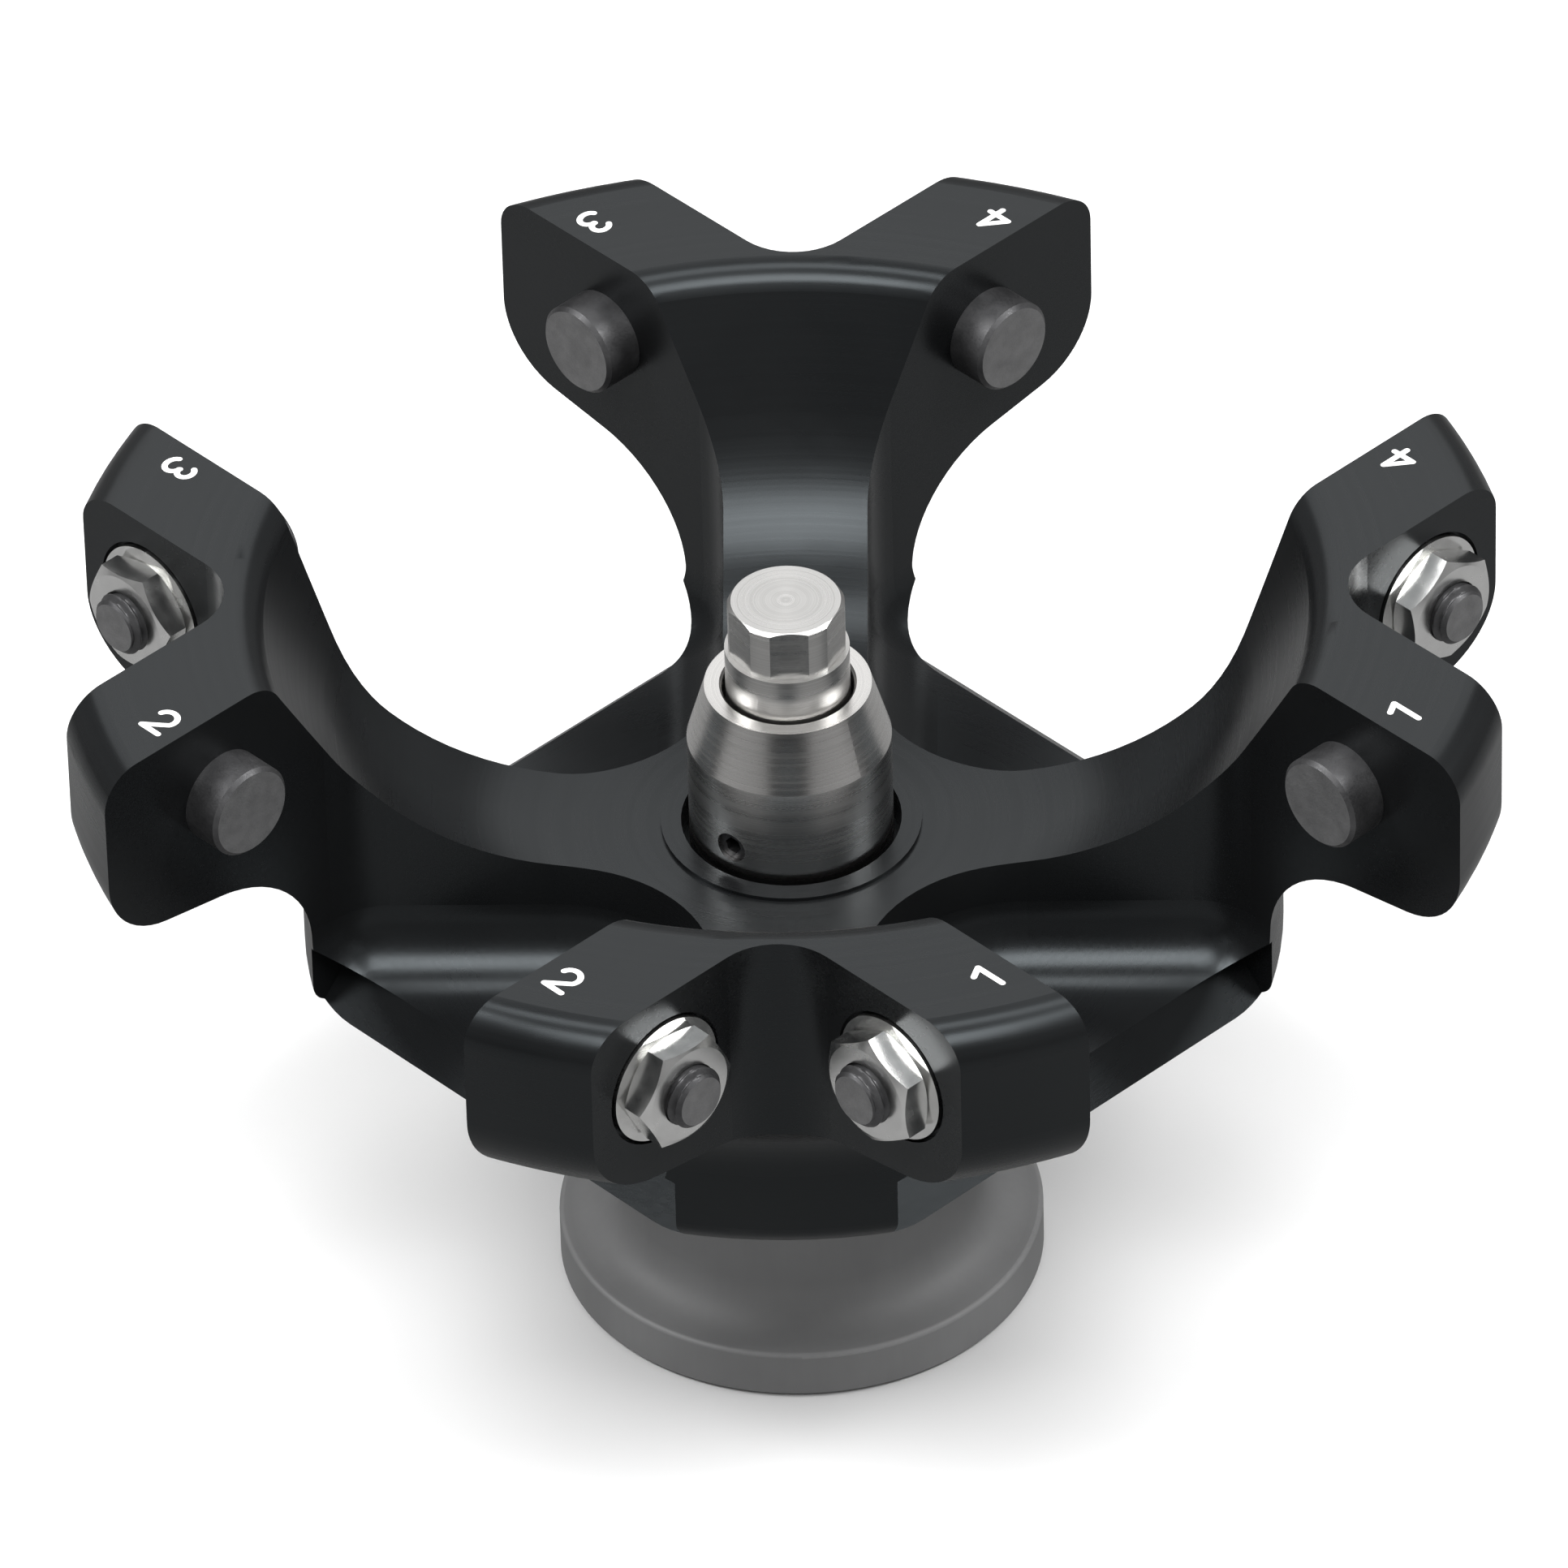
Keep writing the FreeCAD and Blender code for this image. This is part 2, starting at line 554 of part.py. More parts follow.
def make_clamp_bolt():
    top = "bolt_top_rise"
    neck = "bolt_top_rise - bolt_head_length"
    groove_top = "set_screw_rise + dog_radius + end_play"
    groove_foot = "set_screw_rise - dog_radius - end_play - bolt_travel"
    washer_top = "thrust_seat_rise + face_gap + thrust_washer_thickness"
    washer_foot = "thrust_seat_rise + face_gap"
    land_foot = washer_top + " + face_gap"
    ring_top = washer_foot + " - face_gap"
    ring_foot = ring_top + " - ring_thickness"
    thread_end = land_foot + " - bolt_thread_length"
    bolt = turned("bolt_turning_body", (
        ("0", thread_end),
        ("bolt_thread_radius - bolt_thread_edge", thread_end),
        ("bolt_thread_radius", thread_end + " + bolt_thread_edge"),
        ("bolt_thread_radius", ring_foot + " - fit_gap"),
        ("bolt_thread_radius - ring_groove_depth", ring_foot + " - fit_gap"),
        ("bolt_thread_radius - ring_groove_depth", ring_top + " + fit_gap"),
        ("bolt_thread_radius", ring_top + " + fit_gap"),
        ("bolt_thread_radius", land_foot),
        ("bolt_land_radius", land_foot),
        ("bolt_land_radius", groove_foot),
        ("bolt_groove_radius", groove_foot),
        ("bolt_groove_radius", groove_top),
        ("bolt_land_radius", groove_top),
        ("bolt_land_radius", groove_top + " + bolt_land_length"),
        ("bolt_shank_radius", groove_top + " + bolt_land_length"),
        ("bolt_shank_radius", neck),
        ("bolt_head_radius", neck),
        ("bolt_head_radius", top + " - bolt_head_edge"),
        ("bolt_head_radius - bolt_head_edge", top),
        ("0", top),
    ))
    blank = bar("flats_blank", "bolt_head_radius + %s" % SLACK, "bolt_head_length + %s" % SLACK, neck)
    hexagon = six_sided("flats_hexagon", "bolt_head_flats", "bolt_head_length + 2*%s" % SLACK, neck)
    hexagon.Placement.Rotation = about_axis(size["bolt_head_turn"]).Rotation
    flats = boolean("Cut", "flats_cutter", blank, hexagon)
    head = boolean("Cut", "clamp_bolt_shape", bolt, flats)
    washer = turned("thrust_washer_turning", (
        ("bolt_thread_radius + fit_gap", washer_foot),
        ("thrust_washer_radius", washer_foot),
        ("thrust_washer_radius", washer_top),
        ("bolt_thread_radius + fit_gap", washer_top),
    ))
    ring = turned("retaining_ring_turning", (
        ("bolt_thread_radius - ring_groove_depth + fit_gap", ring_foot),
        ("ring_radius", ring_foot),
        ("ring_radius", ring_top),
        ("bolt_thread_radius - ring_groove_depth + fit_gap", ring_top),
    ))
    gap_cutter = doc.addObject("Part::Box", "ring_gap_cutter")
    bind(gap_cutter, Length="ring_radius + %s" % SLACK, Width="bolt_thread_radius",
         Height="2*ring_thickness", Placement__Base__y="- 0.5*bolt_thread_radius",
         Placement__Base__z=ring_foot + " - 0.5*ring_thickness")
    open_ring = boolean("Cut", "retaining_ring_shape", ring, gap_cutter)
    for label, thing in (("clamp_bolt", head), ("thrust_washer", washer),
                         ("retaining_ring", open_ring)):
        bind(thing, Placement__Base__z="flange_height")
        finish(label, thing)


# ---- the base flange and its screws -------------------------------------------------------


def make_flange():
    recess = "flange_height - collar_thickness"
    flange = turned("flange_turning_body", (
        ("spindle_bore + spindle_bore_edge", "0"),
        ("flange_radius - flange_edge", "0"),
        ("flange_radius", "flange_edge"),
        ("flange_radius", "flange_rim", "flange_edge"),
        ("neck_radius", "flange_rim", "neck_round"),
        ("neck_radius", "flange_height"),
        ("sleeve_radius + collar_step + fit_gap", "flange_height"),
        ("sleeve_radius + collar_step + fit_gap", recess),
        ("seat_ring_bore", recess),
        ("seat_ring_bore", "spindle_bore_depth"),
        ("spindle_bore", "spindle_bore_depth"),
        ("spindle_bore", "spindle_bore_edge"),
    ))
    head_face = "flange_height - screw_grip"
    hole = turned("screw_hole_cutter", (
        ("0", "- %s" % SLACK),
        ("screw_head_radius + screw_gap", "- %s" % SLACK),
        ("screw_head_radius + screw_gap", head_face),
        ("screw_radius + screw_gap", head_face),
        ("screw_radius + screw_gap", "flange_height + %s" % SLACK),
        ("0", "flange_height + %s" % SLACK),
    ))
    places = []
    for turn in QUARTER_TURNS:
        offset = FreeCAD.Placement(FreeCAD.Vector(size["screw_circle"], 0, 0), FreeCAD.Rotation())
        places.append(about_axis(turn + 45).multiply(offset))
    finish("base_flange", boolean("Cut", "flange", flange, copies("screw_holes", hole, places)))
    for number, place in enumerate(places, start=1):
        name = "flange_screw_%d" % number
        screw = turned(name + "_turning", (
            ("0", head_face + " - screw_head_height"),
            ("screw_head_radius", head_face + " - screw_head_height"),
            ("screw_head_radius", head_face),
            ("screw_radius", head_face),
            ("screw_radius", "flange_height + screw_reach"),
            ("0", "flange_height + screw_reach"),
        ))
        socket = six_sided(name + "_hexagon", "screw_socket_flats",
                           "screw_socket_depth + %s" % SLACK,
                           head_face + " - screw_head_height - %s" % SLACK)
        piece = boolean("Cut", name, screw, socket)
        piece.Placement = place
        finish(name, piece)


# ---- checks and files -----------------------------------------------------------------------


def check():
    doc.recompute()
    for thing in doc.Objects:
        if "Invalid" in thing.State or "Error" in thing.State:
            raise RuntimeError("%s failed: %s" % (thing.Name, thing.State))
    for node in nodes:
        shape = node.Shape
        if shape.isNull() or not shape.isValid() or len(shape.Solids) != 1:
            raise RuntimeError("%s is not one valid solid" % node.Label)


def write():
    os.makedirs("parts", exist_ok=True)
    for node in nodes:
        node.Shape.exportStep("parts/%s.step" % node.Label)
        print("%-24s %10.1f mm3" % (node.Label, node.Shape.Volume))


fill_sheet()
make_yoke()
make_trunnions()
make_sleeve()
make_set_screws()
make_clamp_bolt()
make_flange()
check()
write()
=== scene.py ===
"""Looks of the four-place swing-out centrifuge rotor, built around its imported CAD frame."""

import json
import math

import bmesh
import bpy
from mathutils import Matrix, Vector


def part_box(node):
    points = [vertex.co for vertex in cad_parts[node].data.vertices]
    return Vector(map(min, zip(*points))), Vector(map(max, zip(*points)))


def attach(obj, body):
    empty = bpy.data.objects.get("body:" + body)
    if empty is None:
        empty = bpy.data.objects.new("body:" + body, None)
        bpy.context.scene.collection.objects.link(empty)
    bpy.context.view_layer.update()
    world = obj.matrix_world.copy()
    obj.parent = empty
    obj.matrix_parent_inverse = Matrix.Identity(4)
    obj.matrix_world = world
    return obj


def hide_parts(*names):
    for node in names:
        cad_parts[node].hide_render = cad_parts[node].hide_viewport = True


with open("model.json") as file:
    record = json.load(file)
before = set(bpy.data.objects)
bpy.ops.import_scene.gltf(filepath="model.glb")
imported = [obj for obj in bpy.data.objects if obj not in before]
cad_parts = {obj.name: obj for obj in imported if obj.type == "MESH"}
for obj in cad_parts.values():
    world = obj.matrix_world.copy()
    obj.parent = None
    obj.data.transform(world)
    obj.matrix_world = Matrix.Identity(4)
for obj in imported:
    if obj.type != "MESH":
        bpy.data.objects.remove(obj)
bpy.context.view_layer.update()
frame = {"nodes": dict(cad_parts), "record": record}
nodes = frame["nodes"]

MM = 0.001
MICRON = 0.000001
PLACES = {1: 0, 2: 270, 3: 180, 4: 90}  # bucket place and the turn of its slot, in degrees
SIDES = {"left": -1, "right": 1}

WING_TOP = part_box("rotor_yoke")[1].z
pin_low, pin_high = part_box("trunnion_pin_1_right")
PIVOT = (pin_low + pin_high) / 2
PIN_RADIUS = (pin_high.z - pin_low.z) / 2
PIN_REACH = 5.25 * MM      # head of a pin, out of the slot wall
PIN_EDGE = 0.5 * MM        # its chamfer
GUIDE_RADIUS = 5.0 * MM    # plain part in the wing
GUIDE_LENGTH = 6.0 * MM
STUD_RADIUS = 4.0 * MM     # M8 end
STUD_EDGE = 0.8 * MM
THREAD_PITCH = 1.25 * MM
THREAD_DEPTH = 0.68 * MM
THREAD_RUN = 5.0 * MM      # length of stud that is cut as a real thread
THREAD_FLAT = 0.12         # share of the pitch that is flat at the crest, and as much at the root
THREAD_STEPS = 12          # rings in one pitch
PIN_SEGMENTS = 96
SHARP_EDGE = 35            # degrees, edges of a pin that are steeper stay sharp

NUMBER_RADIUS = 70.7 * MM  # place numbers, out from the rotor axis along their slot
NUMBER_ACROSS = 35.3 * MM  # and across it
STROKE = 0.78 * MM         # width of a painted stroke
PAINT = 0.015 * MM         # how far the paint stands proud of the wing
PAINT_BODY = 4 * PAINT     # its thickness, most of it sunk in the wing
PAINT_LAYER = 0.2          # each next stroke of a number lies lower by this share, so no faces meet
ARC_STEPS = 14
CAP_STEPS = 8

CAMERA_AZIMUTH = 46.77     # degrees, 0 looks along +Y
CAMERA_ELEVATION = 38.57
CAMERA_ROLL = -1.51
CAMERA_DISTANCE = 2.181    # metres
CAMERA_TARGET_HEIGHT = 73.2 * MM
CAMERA_SIDEWAYS = -0.8 * MM
CAMERA_LENS = 407.55       # millimetres
CAMERA_SENSOR = 36.0       # millimetres
CAMERA_CLIP = (0.05, 50.0)  # metres

FLOOR_HALF = 6.0           # metres
WORLD_STRENGTH = 0.26
SOFT_BOXES = (
    # name, azimuth and elevation in degrees, distance, width, height in metres, power in watts
    ("key", CAMERA_AZIMUTH, 62.0, 1.1, 0.9, 0.42, 11.0),
    ("overhead", CAMERA_AZIMUTH + 180, 78.0, 1.2, 0.8, 0.3, 4.0),
    ("back_panel", CAMERA_AZIMUTH + 180, 40.0, 1.5, 1.3, 0.6, 3.0),
    ("left_strip", CAMERA_AZIMUTH - 85, 50.0, 1.2, 0.30, 0.5, 8.0),
    ("right_strip", CAMERA_AZIMUTH + 85, 50.0, 1.2, 0.30, 0.5, 8.0),
)


# ---- materials ------------------------------------------------------------------------

NOISE_LOW, NOISE_HIGH = 0.3, 0.7  # most values of a noise texture lie between these


class Shader:
    """A Principled material under construction, with short calls for the nodes that it uses."""

    def __init__(self, name, metallic):
        self.material = bpy.data.materials.new(name)
        self.material.use_nodes = True
        self.tree = self.material.node_tree
        self.surface = self.tree.nodes["Principled BSDF"]
        self.surface.inputs["Metallic"].default_value = metallic
        self.place = self.tree.nodes.new("ShaderNodeTexCoord").outputs["Object"]

    def link(self, source, target):
        self.tree.links.new(source, target)

    def feed(self, sockets, values):
        """Sets each socket to its number, or links its value to it."""
        for socket, value in zip(sockets, values):
            if isinstance(value, (int, float)):
                socket.default_value = value
            else:
                self.link(value, socket)

    def calc(self, operation, *values):
        node = self.tree.nodes.new("ShaderNodeMath")
        node.operation = operation
        self.feed(node.inputs, values)
        return node.outputs[0]

    def blend(self, first, second, share):
        """A share of the first value and the rest of the second."""
        return self.calc("ADD", self.calc("MULTIPLY", first, share),
                         self.calc("MULTIPLY", second, 1 - share))

    def stretched(self, scale):
        node = self.tree.nodes.new("ShaderNodeMapping")
        node.inputs["Scale"].default_value = scale
        self.link(self.place, node.inputs["Vector"])
        return node.outputs[0]

    def noise(self, scale, detail, source=None):
        node = self.tree.nodes.new("ShaderNodeTexNoise")
        node.inputs["Scale"].default_value = scale
        node.inputs["Detail"].default_value = detail
        self.link(source or self.place, node.inputs["Vector"])
        return node.outputs["Fac"]

    def spread(self, value, low, high):
        """Stretches the usual range of a noise over low to high, and holds it there."""
        node = self.tree.nodes.new("ShaderNodeMapRange")
        self.feed(node.inputs, (value, NOISE_LOW, NOISE_HIGH, low, high))
        return node.outputs[0]

    def tint(self, value, low, high):
        """Base colour, from low where the noise is low to high where it is high."""
        node = self.tree.nodes.new("ShaderNodeMix")
        node.data_type = "RGBA"
        node.inputs[6].default_value = (*low, 1)
        node.inputs[7].default_value = (*high, 1)
        self.link(self.spread(value, 0, 1), node.inputs[0])
        self.link(node.outputs[2], self.surface.inputs["Base Color"])

    def rough(self, value, low, high):
        self.link(self.spread(value, low, high), self.surface.inputs["Roughness"])

    def split(self):
        node = self.tree.nodes.new("ShaderNodeSeparateXYZ")
        self.link(self.place, node.inputs[0])
        return node.outputs

    def join(self, *values):
        node = self.tree.nodes.new("ShaderNodeCombineXYZ")
        self.feed(node.inputs, values)
        return node.outputs[0]

    def rings(self, scale, detail):
        """Turning marks: noise that depends only on height and on the distance from the Z axis."""
        x, y, z = self.split()
        squares = self.calc("MULTIPLY", x, x), self.calc("MULTIPLY", y, y)
        radius = self.calc("SQRT", self.calc("ADD", *squares))
        return self.noise(scale, detail, self.join(radius, 0.0, z))

    def bump(self, *layers):
        """Each layer is a height and how deep it goes, in metres."""
        normal = None
        for height, depth in layers:
            node = self.tree.nodes.new("ShaderNodeBump")
            node.inputs["Distance"].default_value = depth
            self.link(height, node.inputs["Height"])
            if normal is not None:
                self.link(normal, node.inputs["Normal"])
            normal = node.outputs[0]
        self.link(normal, self.surface.inputs["Normal"])


def black_anodised():
    """Satin black anodising over fine turning marks, with a faint bloom where it was handled."""
    shader = Shader("black_anodised", 0.0)
    bloom = shader.noise(38, 4)
    grain = shader.noise(5200, 2)
    marks = shader.rings(1500, 2)
    shader.tint(bloom, (0.0042, 0.0044, 0.0047), (0.0065, 0.0067, 0.007))
    shader.rough(shader.blend(bloom, marks, 0.6), 0.24, 0.33)
    shader.bump((marks, 7 * MICRON), (grain, 2 * MICRON))
    shader.surface.inputs["Specular IOR Level"].default_value = 0.34
    shader.surface.inputs["Specular Tint"].default_value = (0.86, 0.95, 1.0, 1)
    return shader.material


def blackened_steel():
    """Dark phosphated steel of the pins, with fine turning marks and a lighter, rubbed grain."""
    shader = Shader("blackened_steel", 0.75)
    cloud = shader.noise(260, 5)
    grain = shader.noise(3800, 3)
    shader.tint(cloud, (0.050, 0.050, 0.052), (0.105, 0.105, 0.108))
    shader.rough(grain, 0.36, 0.56)
    shader.bump((grain, 4 * MICRON), (cloud, 10 * MICRON))
    return shader.material


def blackened_face():
    """The pins' end faces, whose blackening is rubbed to a lighter grey."""
    shader = Shader("blackened_face", 0.6)
    cloud = shader.noise(520, 4)
    grain = shader.noise(4200, 3)
    shader.tint(cloud, (0.16, 0.16, 0.162), (0.21, 0.21, 0.212))
    shader.rough(grain, 0.42, 0.62)
    shader.bump((grain, 20 * MICRON))
    return shader.material


def bright_zinc():
    """Bright plated nuts and washers, slightly uneven."""
    shader = Shader("bright_zinc", 1.0)
    cloud = shader.noise(420, 3)
    grain = shader.noise(4200, 2)
    shader.tint(cloud, (0.74, 0.74, 0.73), (0.82, 0.82, 0.81))
    shader.rough(cloud, 0.20, 0.28)
    shader.bump((grain, 0.8 * MICRON), (cloud, 3 * MICRON))
    return shader.material


def turned_metal(name, low, high, roughness, depth):
    """Turned and polished metal: rings round the Z axis, in colour, gloss and relief.

    low and high are colours, roughness is a range, and depth is in metres."""
    shader = Shader(name, 1.0)
    marks = shader.rings(6500, 2)
    coarse = shader.rings(1400, 1)
    shader.tint(marks, low, high)
    shader.rough(coarse, *roughness)
    shader.bump((marks, depth))
    tangent = shader.tree.nodes.new("ShaderNodeTangent")
    tangent.direction_type = "RADIAL"
    tangent.axis = "Z"
    shader.link(tangent.outputs[0], shader.surface.inputs["Tangent"])
    shader.surface.inputs["Anisotropic"].default_value = 0.6
    return shader.material


def stainless_steel():
    return turned_metal("stainless_steel", (0.56, 0.55, 0.54), (0.66, 0.65, 0.635),
                        (0.22, 0.32), 3 * MICRON)


def turned_steel():
    return turned_metal("turned_steel", (0.46, 0.455, 0.445), (0.58, 0.575, 0.565),
                        (0.26, 0.36), 8 * MICRON)


def dark_steel_screws():
    shader = Shader("dark_steel_screws", 0.9)
    grain = shader.noise(3600, 2)
    shader.tint(grain, (0.035, 0.035, 0.037), (0.06, 0.06, 0.062))
    shader.rough(grain, 0.32, 0.5)
    shader.bump((grain, 10 * MICRON))
    return shader.material


def blasted_aluminium():
    """Matt bead-blasted aluminium of the base flange."""
    shader = Shader("blasted_aluminium", 0.25)
    grain = shader.noise(6500, 2)
    streaks = shader.noise(900, 3, shader.stretched((1, 1, 0.12)))
    cloud = shader.noise(55, 3)
    mixed = shader.blend(cloud, streaks, 0.85)
    shader.tint(mixed, (0.30, 0.301, 0.304), (0.37, 0.371, 0.375))
    shader.rough(mixed, 0.50, 0.66)
    shader.bump((grain, 8 * MICRON), (streaks, 2 * MICRON))
    return shader.material


def white_enamel():
    """White paint of the place numbers, a little uneven."""
    shader = Shader("white_enamel", 0.0)
    grain = shader.noise(2600, 3)
    shader.tint(grain, (0.74, 0.74, 0.73), (0.86, 0.86, 0.85))
    shader.rough(grain, 0.42, 0.58)
    shader.bump((grain, 20 * MICRON))
    return shader.material


def backdrop_paper():
    """Paper that is white to the camera and darker to other rays, so that little of it is mirrored."""
    shader = Shader("backdrop_paper", 0.0)
    fibre = shader.noise(900, 2)
    shader.rough(fibre, 0.85, 0.95)
    seen = shader.tree.nodes.new("ShaderNodeLightPath").outputs["Is Camera Ray"]
    shader.tint(seen, (0.2, 0.2, 0.2), (0.86, 0.86, 0.86))
    return shader.material


materials = {
    "black_anodised": black_anodised(),
    "blackened_steel": blackened_steel(),
    "blackened_face": blackened_face(),
    "bright_zinc": bright_zinc(),
    "stainless_steel": stainless_steel(),
    "turned_steel": turned_steel(),
    "dark_steel_screws": dark_steel_screws(),
    "blasted_aluminium": blasted_aluminium(),
    "white_enamel": white_enamel(),
    "backdrop_paper": backdrop_paper(),
}


def paint_nodes():
    """Gives every CAD node the material of the slot that it was packed with."""
    for row in frame["record"]["subparts"]:
        slots = nodes[row["node"]].data.materials
        slots.clear()
        slots.append(materials[row["material_slot"]])


# ---- pieces ---------------------------------------------------------------------------


def placed(name, mesh, slot_name, *finishes):
    """A new piece that rides on the rotor, with its materials in the order of its face indices."""
    piece = bpy.data.objects.new(name, mesh)
    bpy.context.scene.collection.objects.link(piece)
    for finish in finishes:
        mesh.materials.append(materials[finish])
    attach(piece, "rotor")
    return piece


def compass(turn):
    angle = math.radians(turn)
    return Vector((math.cos(angle), math.sin(angle), 0))


def thread_cut(along, turn_share):
    """How deep the thread is cut at a place along the stud, at a share of a whole turn."""
    phase = (along / THREAD_PITCH - turn_share) % 1
    flank = (abs(2 * phase - 1) - THREAD_FLAT) / (1 - 2 * THREAD_FLAT)
    return THREAD_DEPTH * min(max(flank, 0), 1)


def pin_rings():
    """(place along the pin, radius, whether it is threaded) from the free end to the stud's end."""
    free, end = pin_low.y, pin_high.y
    wall = free + PIN_REACH
    guide_end = wall + GUIDE_LENGTH
    rings = [(free, PIN_RADIUS - PIN_EDGE, False), (free + PIN_EDGE, PIN_RADIUS, False),
             (wall, PIN_RADIUS, False), (wall, GUIDE_RADIUS, False),
             (guide_end, GUIDE_RADIUS, False), (guide_end, STUD_RADIUS, False)]
    steps = round(THREAD_RUN / (THREAD_PITCH / THREAD_STEPS))
    for step in range(steps + 1):
        along = end - THREAD_RUN * (1 - step / steps)
        radius = min(STUD_RADIUS, STUD_RADIUS - STUD_EDGE + end - along)
        rings.append((along, radius, step > 0))
    return rings


def pin_mesh(name, start, across):
    """A trunnion pin as a mesh of rings, with a real thread on the end that leaves its nut."""
    sideways = across.cross(Vector((0, 0, 1)))
    work = bmesh.new()
    rows = []
    for along, radius, threaded in pin_rings():
        row = []
        for segment in range(PIN_SEGMENTS):
            share = segment / PIN_SEGMENTS
            reach = radius
            if threaded:
                reach = min(reach, STUD_RADIUS - thread_cut(along, share))
            angle = math.tau * share
            offset = sideways * math.cos(angle) + Vector((0, 0, math.sin(angle)))
            row.append(work.verts.new(start + across * along + offset * reach))
        rows.append(row)
    for near, far in zip(rows, rows[1:]):
        for segment in range(PIN_SEGMENTS):
            after = (segment + 1) % PIN_SEGMENTS
            work.faces.new((near[segment], near[after], far[after], far[segment]))
    for row in (rows[0], rows[-1]):
        work.faces.new(row).material_index = 1
    bmesh.ops.recalc_face_normals(work, faces=work.faces)
    mesh = bpy.data.meshes.new(name)
    work.to_mesh(mesh)
    work.free()
    mesh.shade_smooth()
    mesh.set_sharp_from_angle(angle=math.radians(SHARP_EDGE))
    return mesh


def make_pins():
    for place, turn in PLACES.items():
        outward = compass(turn)
        start = outward * PIVOT.x + Vector((0, 0, PIVOT.z))
        for side, sign in SIDES.items():
            across = compass(turn + 90) * sign
            mesh = pin_mesh("threaded_pin_%d_%s" % (place, side), start, across)
            piece = placed(mesh.name, mesh, "blackened_steel", "blackened_steel", "blackened_face")
            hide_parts("trunnion_pin_%d_%s" % (place, side))


def arc(centre, radii, first, last):
    """Points of an ellipse's arc, between two angles in degrees."""
    points = []
    for step in range(ARC_STEPS + 1):
        angle = math.radians(first + (last - first) * step / ARC_STEPS)
        points.append((centre[0] + radii[0] * math.cos(angle),
                       centre[1] + radii[1] * math.sin(angle)))
    return points


# Strokes of each number, in millimetres from its middle: to the right and up.
NUMBER_STROKES = {
    1: [[(0.45, 2.05), (-1.15, 1.15)], [(0.45, 2.05), (0.45, -2.05)]],
    2: [arc((0.0, 0.72), (1.35, 1.33), 165, -30) + [(-1.45, -2.05)],
        [(-1.45, -2.05), (1.45, -2.05)]],
    3: [arc((-0.1, 1.05), (1.15, 1.0), 155, -80), arc((-0.1, -0.95), (1.35, 1.1), 85, -155)],
    4: [[(0.55, -2.05), (0.55, 2.05)], [(0.55, 2.05), (-1.6, -0.85)],
        [(-1.6, -0.85), (1.5, -0.85)]],
}


def stroke_outline(points):
    """The edge of a stroke of constant width with round ends, as left and right sides."""
    half = STROKE / 2
    path = [Vector(point) * MM for point in points]
    left, right = [], []
    for index, point in enumerate(path):
        before = (point - path[index - 1]).normalized() if index else None
        after = (path[index + 1] - point).normalized() if index + 1 < len(path) else None
        heading = ((before or after) + (after or before)).normalized()
        normal = Vector((-heading.y, heading.x))
        left.append(point + normal * half)
        right.append(point - normal * half)
    return left, right


def cap_fan(centre, first):
    """Points of a half circle round a stroke's end, between one side's point and the other's."""
    spoke = first - centre
    turns = (Matrix.Rotation(-math.pi * step / CAP_STEPS, 2) for step in range(1, CAP_STEPS))
    return [centre + turn @ spoke for turn in turns]


def number_mesh(name, place, centre, right, up):
    """A place's number as painted strokes, each a thin slab that is mostly sunk in the wing."""
    work = bmesh.new()

    def lifted(point, height):
        return centre + right * point.x + up * point.y + Vector((0, 0, height))

    for layer, points in enumerate(NUMBER_STROKES[place]):
        height = PAINT * (1 - PAINT_LAYER * layer)
        left, right_side = stroke_outline(points)
        near, far = [[work.verts.new(lifted(p, height)) for p in side]
                     for side in (left, right_side)]
        for index in range(len(points) - 1):
            work.faces.new((near[index], far[index], far[index + 1], near[index + 1]))
        ends = ((Vector(points[-1]) * MM, left[-1], near[-1], far[-1]),
                (Vector(points[0]) * MM, right_side[0], far[0], near[0]))
        for middle, first, first_vertex, last_vertex in ends:
            fan = [work.verts.new(lifted(p, height)) for p in cap_fan(middle, first)]
            work.faces.new([first_vertex, *fan, last_vertex])
    bmesh.ops.recalc_face_normals(work, faces=work.faces)
    for face in work.faces:
        if face.normal.z < 0:
            face.normal_flip()
    skin = bmesh.ops.extrude_face_region(work, geom=list(work.faces))
    sunk = [item for item in skin["geom"] if isinstance(item, bmesh.types.BMVert)]
    bmesh.ops.translate(work, verts=sunk, vec=(0, 0, -PAINT_BODY))
    bmesh.ops.recalc_face_normals(work, faces=work.faces)
    mesh = bpy.data.meshes.new(name)
    work.to_mesh(mesh)
    work.free()
    return mesh


def make_numbers():
    """Each wing's top carries the number of its bucket place, read from outside the rotor."""
    for place, turn in PLACES.items():
        outward, right = compass(turn), compass(turn + 90)
        for side, sign in SIDES.items():
            centre = outward * NUMBER_RADIUS + right * (sign * NUMBER_ACROSS)
            centre.z = WING_TOP
            mesh = number_mesh("place_number_%d_%s" % (place, side), place, centre, right, -outward)
            placed(mesh.name, mesh, "black_anodised", "white_enamel")


# ---- stage, light and camera ------------------------------------------------------------


def make_floor():
    signs = ((-1, -1), (1, -1), (1, 1), (-1, 1))
    corners = [(x * FLOOR_HALF, y * FLOOR_HALF, 0) for x, y in signs]
    mesh = bpy.data.meshes.new("studio_floor")
    mesh.from_pydata(corners, [], [(0, 1, 2, 3)])
    mesh.materials.append(materials["backdrop_paper"])
    floor = bpy.data.objects.new("studio_floor", mesh)
    bpy.context.scene.collection.objects.link(floor)


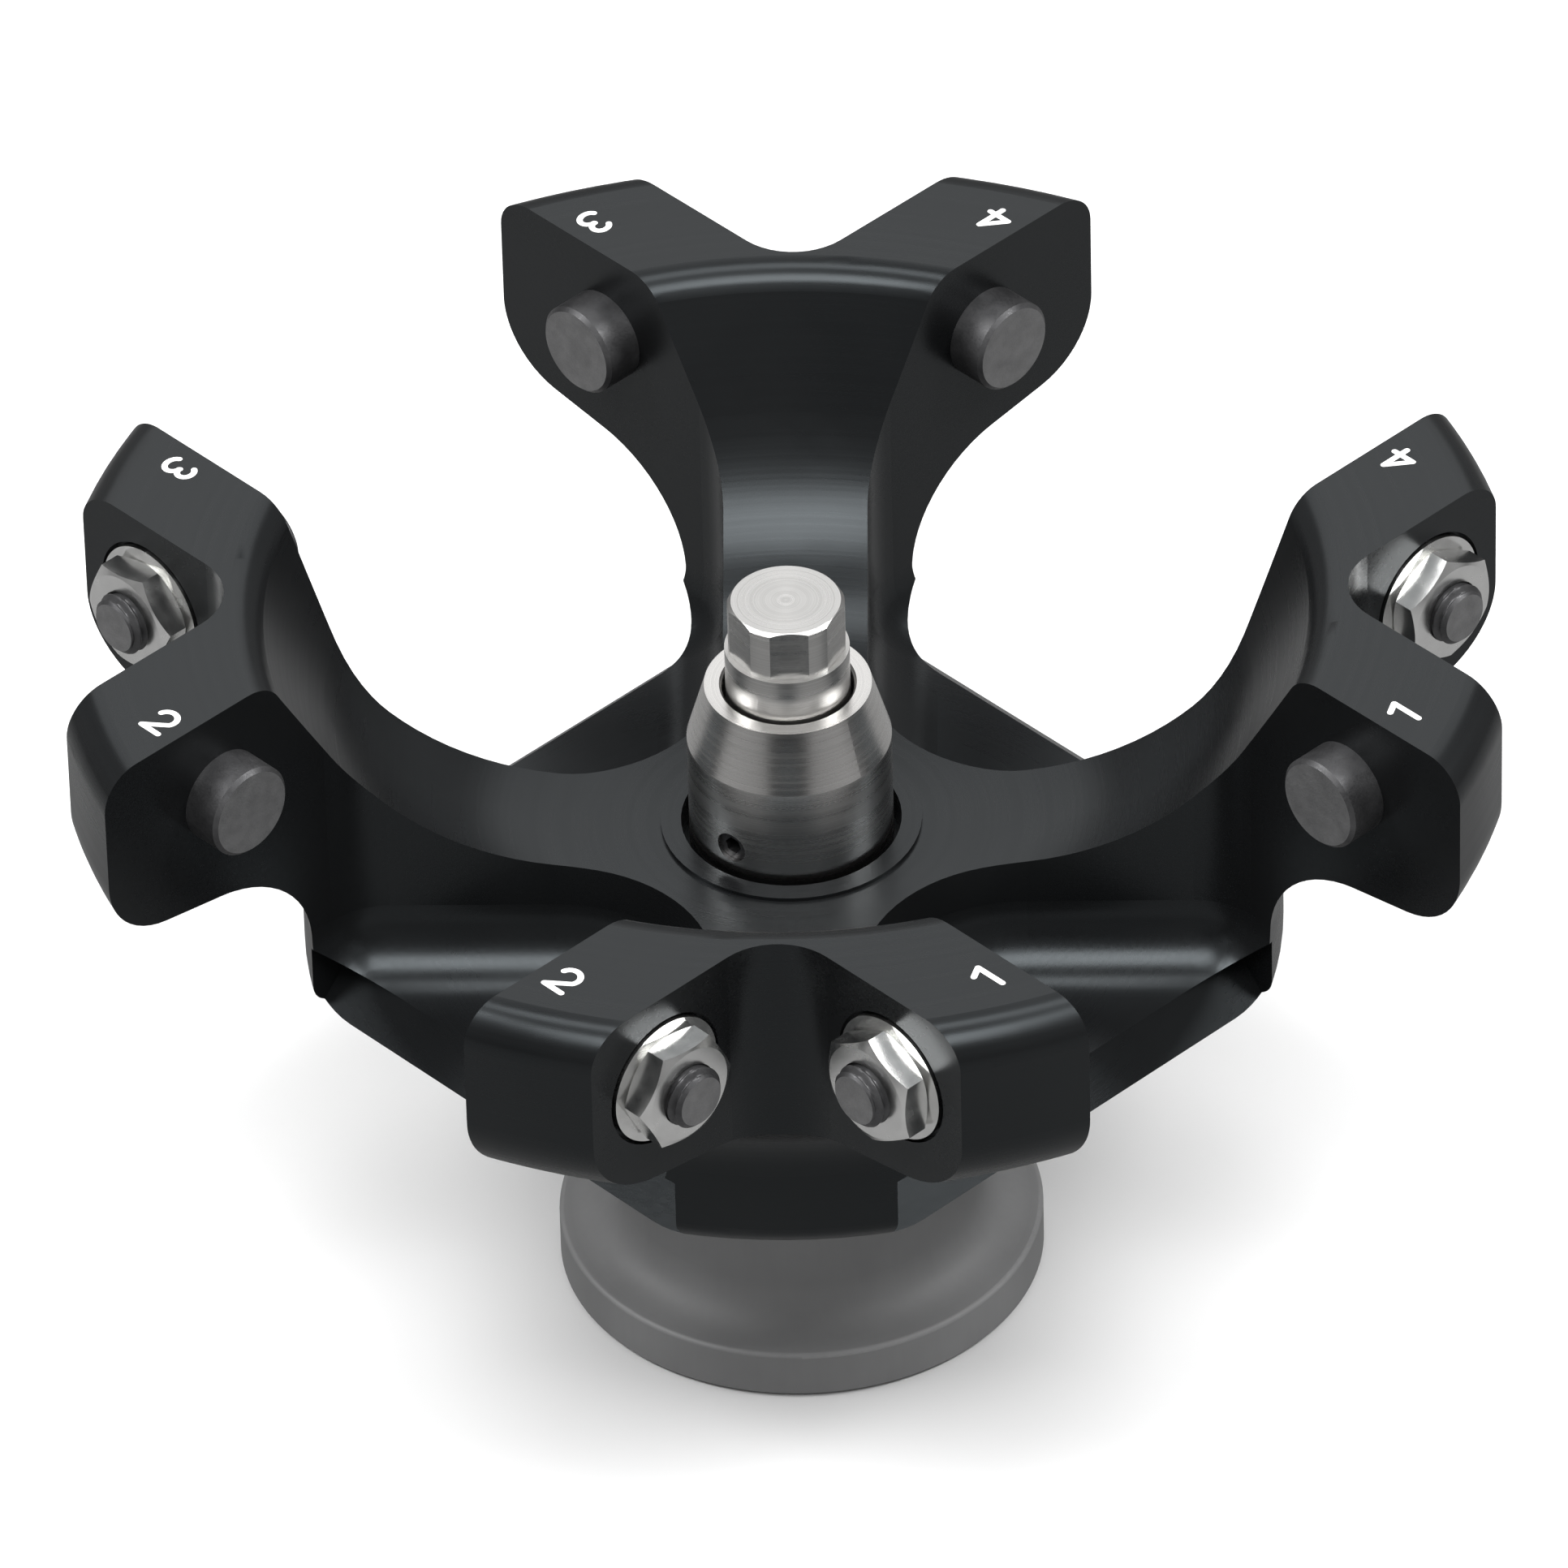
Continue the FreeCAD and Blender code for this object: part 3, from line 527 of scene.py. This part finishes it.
def aimed(location, target, roll=0.0):
    """A pose whose -Z axis looks from location at target, with the picture turned by roll."""
    back = (location - target).normalized()
    right = Vector((0, 0, 1)).cross(back).normalized()
    up = back.cross(right)
    across = right * math.cos(roll) + up * math.sin(roll)
    upward = up * math.cos(roll) - right * math.sin(roll)
    matrix = Matrix((across, upward, back)).transposed().to_4x4()
    matrix.translation = location
    return matrix


def seen_from(azimuth, elevation, distance, target):
    """Where something stands that looks at the target from an azimuth and an elevation."""
    turn, rise = math.radians(azimuth), math.radians(elevation)
    direction = Vector((math.sin(turn) * math.cos(rise), -math.cos(turn) * math.cos(rise),
                        math.sin(rise)))
    return target + direction * distance


def soft_box(name, azimuth, elevation, distance, width, height, power):
    target = Vector((0, 0, WING_TOP / 2))
    light = bpy.data.lights.new(name, "AREA")
    light.shape = "RECTANGLE"
    light.size, light.size_y = width, height
    light.energy = power
    lamp = bpy.data.objects.new(name, light)
    lamp.matrix_world = aimed(seen_from(azimuth, elevation, distance, target), target)
    bpy.context.scene.collection.objects.link(lamp)


def make_light():
    world = bpy.data.worlds.new("studio")
    world.use_nodes = True
    background = world.node_tree.nodes["Background"]
    background.inputs["Color"].default_value = (1, 1, 1, 1)
    background.inputs["Strength"].default_value = WORLD_STRENGTH
    bpy.context.scene.world = world
    for row in SOFT_BOXES:
        soft_box(*row)


def make_camera():
    scene = bpy.context.scene
    data = bpy.data.cameras.new("camera")
    data.sensor_width = CAMERA_SENSOR
    data.lens = CAMERA_LENS
    data.clip_start, data.clip_end = CAMERA_CLIP
    camera = bpy.data.objects.new("camera", data)
    target = Vector((0, 0, CAMERA_TARGET_HEIGHT))
    location = seen_from(CAMERA_AZIMUTH, CAMERA_ELEVATION, CAMERA_DISTANCE, target)
    matrix = aimed(location, target, math.radians(CAMERA_ROLL))
    matrix.translation = location + compass(CAMERA_AZIMUTH) * CAMERA_SIDEWAYS
    camera.matrix_world = matrix
    scene.collection.objects.link(camera)
    scene.camera = camera
    scene.view_settings.view_transform = "Standard"


paint_nodes()
make_pins()
make_numbers()
make_floor()
make_light()
make_camera()
